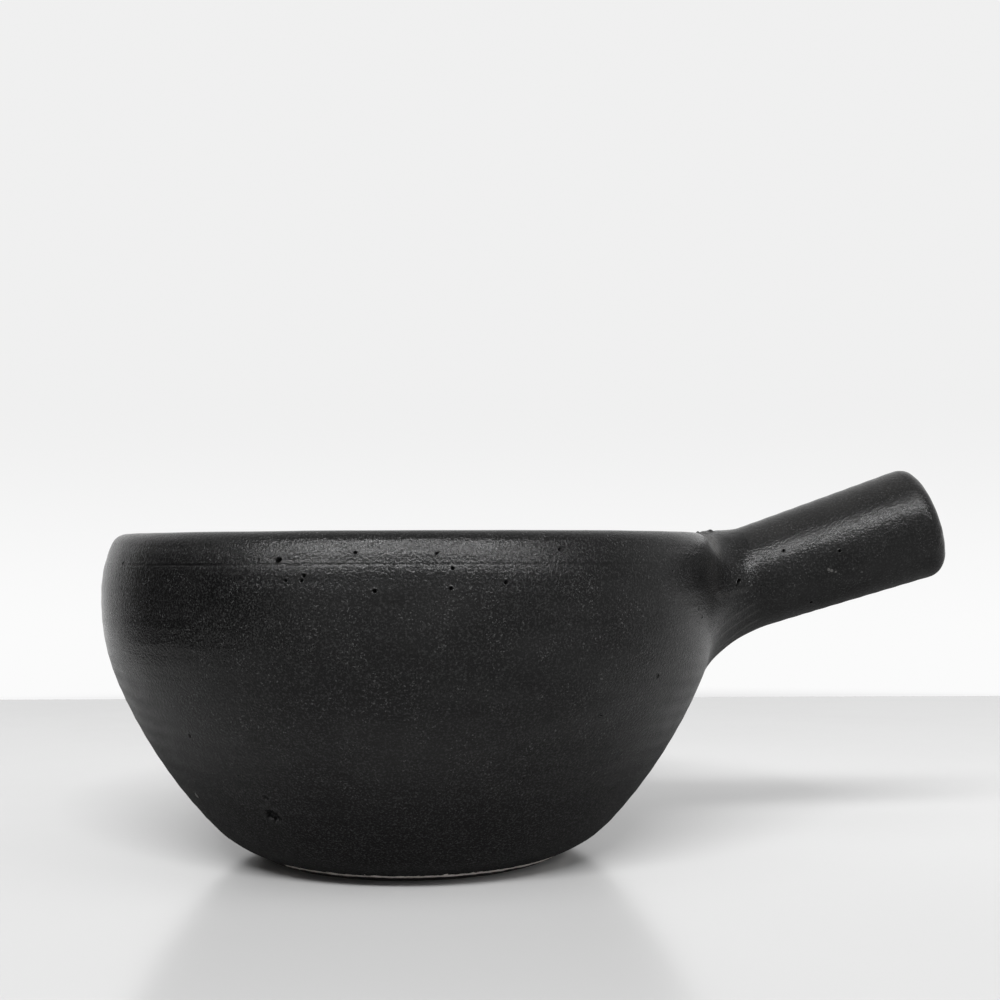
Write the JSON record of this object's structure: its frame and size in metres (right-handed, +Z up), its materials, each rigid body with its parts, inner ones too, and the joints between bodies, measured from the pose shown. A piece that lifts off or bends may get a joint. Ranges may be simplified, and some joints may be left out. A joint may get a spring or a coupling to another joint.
{
  "type": "single-handle donabe",
  "caption": "Open stoneware cooking pot: a round bowl with a rolled-in rim on a low foot ring, and a short hollow tube handle that slants up from its belly.",
  "frame": {"origin": "on the table at the centre of the foot ring, which is on the bowl's axis", "axes": "+Z up along the bowl's axis, +X from the bowl's axis towards the handle, +Y to the left of someone who looks along the handle away from the bowl"},
  "size_m": [0.2473, 0.18, 0.1115],
  "materials": {
    "black_glaze": "satin",
    "bare_clay": "matte"
  },
  "bodies": {
    "root": {"bowl": "black_glaze", "foot_ring": "bare_clay", "handle": "black_glaze", "luting_coil": "black_glaze"}
  },
  "joints": []
}
